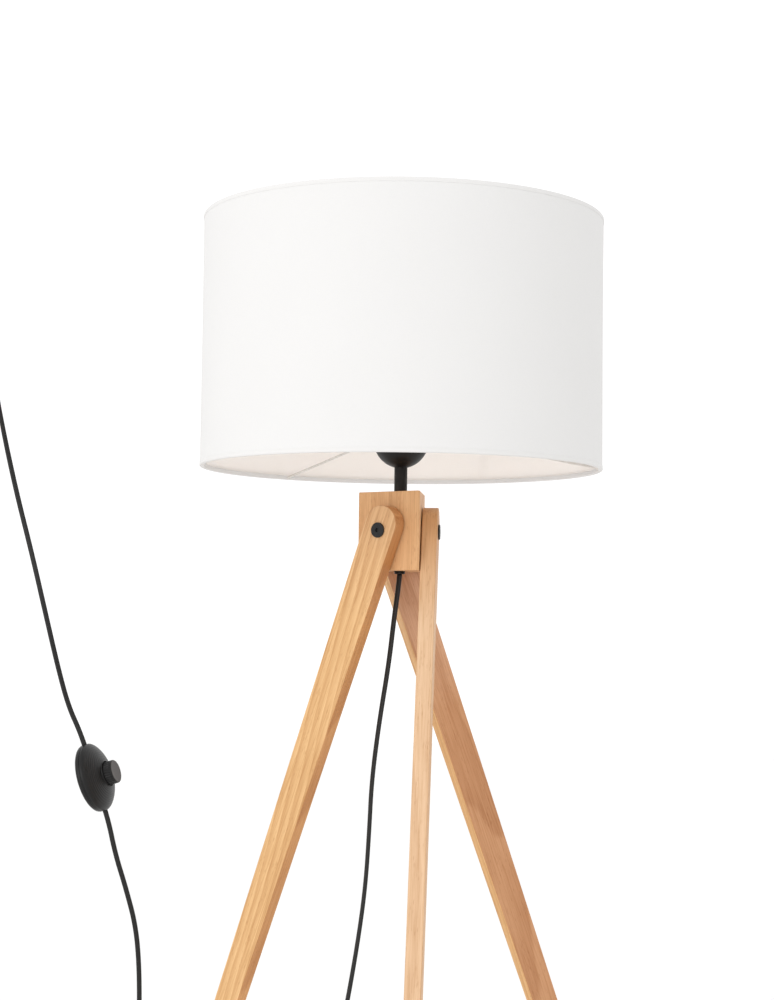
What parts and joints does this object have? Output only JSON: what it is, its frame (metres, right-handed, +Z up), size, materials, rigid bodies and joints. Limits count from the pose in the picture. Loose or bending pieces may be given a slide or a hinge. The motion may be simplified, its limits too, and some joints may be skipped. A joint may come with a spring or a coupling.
{
  "type": "tripod floor lamp",
  "caption": "Floor lamp with a white fabric drum shade on hinged tapered beech tripod legs, an E27 lamp holder, and a black lead with a round foot switch.",
  "frame": {"origin": "on the lamp's axis, at floor level", "axes": "+Z up; the front leg points towards -Y, the left and right legs point back towards -X and +X"},
  "size_m": [0.8787, 0.6695, 1.4],
  "materials": {
    "beech": "satin lacquered beech with fine flecks",
    "black_metal": "fine matt black powder coat",
    "zinc_steel": "zinc plated",
    "brass": "turned brass",
    "nickel_brass": "nickel plated",
    "clear_nylon": "natural nylon",
    "black_plastic": "satin moulded black",
    "porcelain": "glazed white",
    "black_cord": "satin black sheath",
    "wire_insulation": "smooth core insulation",
    "white_fabric": "fine plain weave laminated on a stiff sheet",
    "cream_wire": "satin cream coating",
    "black_rubber": "matt"
  },
  "bodies": {
    "stand": {"head_block": "beech", "leg_inserts": "brass", "leg_washers": "clear_nylon", "leg_bolts": "black_metal", "threaded_tube": "zinc_steel", "bottom_nut": "zinc_steel", "cord_gland": "black_plastic", "stem": "black_metal", "cup": "black_metal", "cup_nut": "zinc_steel", "holder_cap": "black_plastic", "holder_insert": "porcelain", "terminal_screws": "brass", "holder_body": "black_plastic", "screw_shell": "nickel_brass", "centre_contact": "brass", "shade_ring": "black_plastic", "stem_cable": "black_cord", "core_wires": "wire_insulation", "shade_cover": "white_fabric", "shade_top_ring": "cream_wire", "shade_carrier": "cream_wire", "shade_bottom_trim": "white_fabric", "shade_top_trim": "white_fabric", "lead_cord": "black_cord", "plug_cord": "black_cord", "switch_base": "black_plastic", "switch_cover": "black_plastic", "button_spring": "zinc_steel", "switch_mechanism": "black_plastic", "cord_clamps": "black_plastic", "switch_conductors": "wire_insulation", "switch_screws": "zinc_steel", "plug_boot": "black_plastic", "plug_body": "black_plastic", "plug_pins": "nickel_brass"},
    "front_leg": {"leg_front": "beech", "foot_pad_front": "black_rubber"},
    "right_leg": {"leg_right": "beech", "foot_pad_right": "black_rubber"},
    "left_leg": {"leg_left": "beech", "foot_pad_left": "black_rubber"},
    "foot_button": {"switch_button": "black_plastic"}
  },
  "joints": [
    {"name": "front_leg_splay", "type": "hinge", "parent": "stand", "child": "front_leg", "pos_m": [0.03035, 0, 1.088], "axis": [-1, 0, 0], "range_deg": [-21, 6]},
    {"name": "right_leg_splay", "type": "hinge", "parent": "stand", "child": "right_leg", "pos_m": [-0.01517, 0.02628, 1.088], "axis": [0.5, -0.866, 0], "range_deg": [-21, 6]},
    {"name": "left_leg_splay", "type": "hinge", "parent": "stand", "child": "left_leg", "pos_m": [-0.01518, -0.02628, 1.088], "axis": [0.5, 0.866, 0], "range_deg": [-21, 6]},
    {"name": "foot_button_press", "type": "slide", "parent": "stand", "child": "foot_button", "axis": [-0.9408, 0.16, -0.2989], "range_m": [0, 0.0035], "stiffness_N_per_m": 700, "springref_m": -0.004, "deforming": ["button_spring"]}
  ]
}
